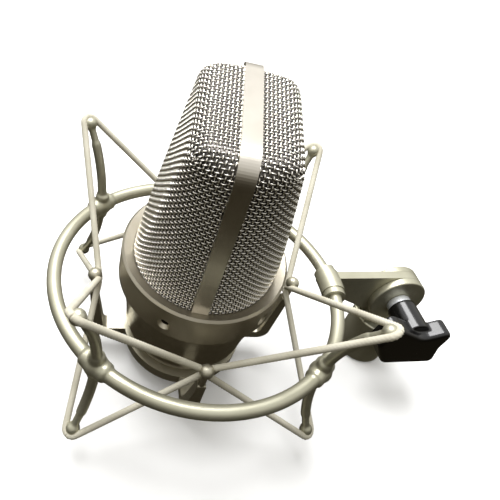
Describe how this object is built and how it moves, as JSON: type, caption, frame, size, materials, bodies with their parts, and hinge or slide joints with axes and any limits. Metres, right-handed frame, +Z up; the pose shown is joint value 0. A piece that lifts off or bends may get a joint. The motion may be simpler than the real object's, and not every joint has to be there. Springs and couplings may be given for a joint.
{
  "type": "ribbon microphone",
  "caption": "Side-address studio microphone with a wedge-shaped woven grille, hung by elastic loops in a ring-and-strut suspension that tilts on a stand adaptor.",
  "frame": {"origin": "centre of the stand thread's mouth, at the bottom of the adaptor", "axes": "+Z up out of the stand, +X from the microphone towards the stand, +Y along the swivel axis away from the clamp knob"},
  "size_m": [0.16, 0.1132, 0.1287],
  "materials": {
    "satin_nickel": "warm satin nickel coating, fine grain",
    "woven_nickel": "plain-woven wire mesh with a satin nickel finish",
    "fine_gauze": "fine dark acoustic gauze",
    "bright_plate": "bright plating",
    "knob_black": "glossy black moulded plastic",
    "braid": "braided cream elastic cord",
    "pad_rubber": "soft black rubber",
    "brass": "machined brass",
    "steel": "plain machined steel",
    "magnet_steel": "nickel-plated magnet",
    "ribbon_foil": "bare aluminium foil",
    "insulator": "black phenolic",
    "core_laminate": "varnished laminations",
    "winding": "enamelled copper wire",
    "board_green": "glass-fibre board",
    "capacitor_blue": "sleeved capacitors",
    "wire_sleeve": "insulated wire",
    "contact": "gold-plated contact"
  },
  "bodies": {
    "stand": {"stand_adaptor": "satin_nickel", "thread_insert": "bright_plate", "clamp_bolt": "bright_plate"},
    "frame": {"ring_tube": "satin_nickel", "bracket_arm": "satin_nickel", "strut_1": "satin_nickel", "strut_2": "satin_nickel", "strut_3": "satin_nickel", "strut_4": "satin_nickel", "knuckle_1": "satin_nickel", "knuckle_2": "satin_nickel", "knuckle_3": "satin_nickel", "knuckle_4": "satin_nickel", "upper_elastic": "braid", "lower_elastic": "braid"},
    "clamp_washer": {"knob_collar": "bright_plate"},
    "clamp_knob": {"knob_bushing": "brass", "clamp_knob": "knob_black"},
    "cradle": {"cradle": "satin_nickel", "cradle_pad": "pad_rubber"},
    "microphone": {"base_plug": "satin_nickel", "board_parts": "capacitor_blue", "body_collar": "satin_nickel", "body_shell": "satin_nickel", "chassis_rail_left": "steel", "chassis_rail_right": "steel", "circuit_board": "board_green", "clamp_screws": "brass", "connector_insert": "insulator", "connector_pins": "contact", "deck": "steel", "grille_band": "satin_nickel", "grille_front": "woven_nickel", "grille_rear": "woven_nickel", "housing_screws": "bright_plate", "isolators": "pad_rubber", "magnet_left": "magnet_steel", "magnet_right": "magnet_steel", "motor_frame": "steel", "motor_mount": "steel", "pole_piece_left": "steel", "pole_piece_right": "steel", "ribbon": "ribbon_foil", "ribbon_clamp_bottom": "insulator", "ribbon_clamp_top": "insulator", "screen_front": "fine_gauze", "screen_rear": "fine_gauze", "signal_leads": "wire_sleeve", "transformer_base": "insulator", "transformer_core": "core_laminate", "transformer_winding": "winding"},
    "lock_washer": {"lock_washer": "satin_nickel"},
    "lock_ring": {"lock_ring": "satin_nickel"}
  },
  "joints": [
    {"name": "swivel", "type": "hinge", "parent": "stand", "child": "frame", "pos_m": [0, 0, 0.0375], "axis": [0, 1, 0], "range_deg": [-35, 180]},
    {"name": "clamp_travel", "type": "slide", "parent": "stand", "child": "clamp_washer", "axis": [0, -1, 0], "range_m": [0, 0.002]},
    {"name": "clamp_knob_turn", "type": "hinge", "parent": "clamp_washer", "child": "clamp_knob", "pos_m": [0, -0.014, 0.0375], "axis": [0, -1, 0], "range_deg": [0, 720]},
    {"name": "suspension_float", "type": "slide", "parent": "frame", "child": "cradle", "axis": [0, 0, 1], "range_m": [-0.006, 0.006], "stiffness_N_per_m": 1500, "springref_m": 0.003, "deforming": ["upper_elastic", "lower_elastic"]},
    {"name": "microphone_turn", "type": "hinge", "parent": "cradle", "child": "microphone", "pos_m": [-0.0907, 0.0008, 0.0464], "axis": [-0.039, -0.0876, 0.9954], "continuous": true},
    {"name": "lock_travel", "type": "slide", "parent": "microphone", "child": "lock_washer", "axis": [0.039, 0.0876, -0.9954], "range_m": [0, 0.002]},
    {"name": "lock_ring_turn", "type": "hinge", "parent": "lock_washer", "child": "lock_ring", "pos_m": [-0.0907, 0.0008, 0.0464], "axis": [0.039, 0.0876, -0.9954], "range_deg": [0, 720]}
  ],
  "couplings": [
    {"joint": "clamp_travel", "follows": "clamp_knob_turn", "m_per_rad": 0.00015915},
    {"joint": "lock_travel", "follows": "lock_ring_turn", "m_per_rad": 0.00015915}
  ]
}
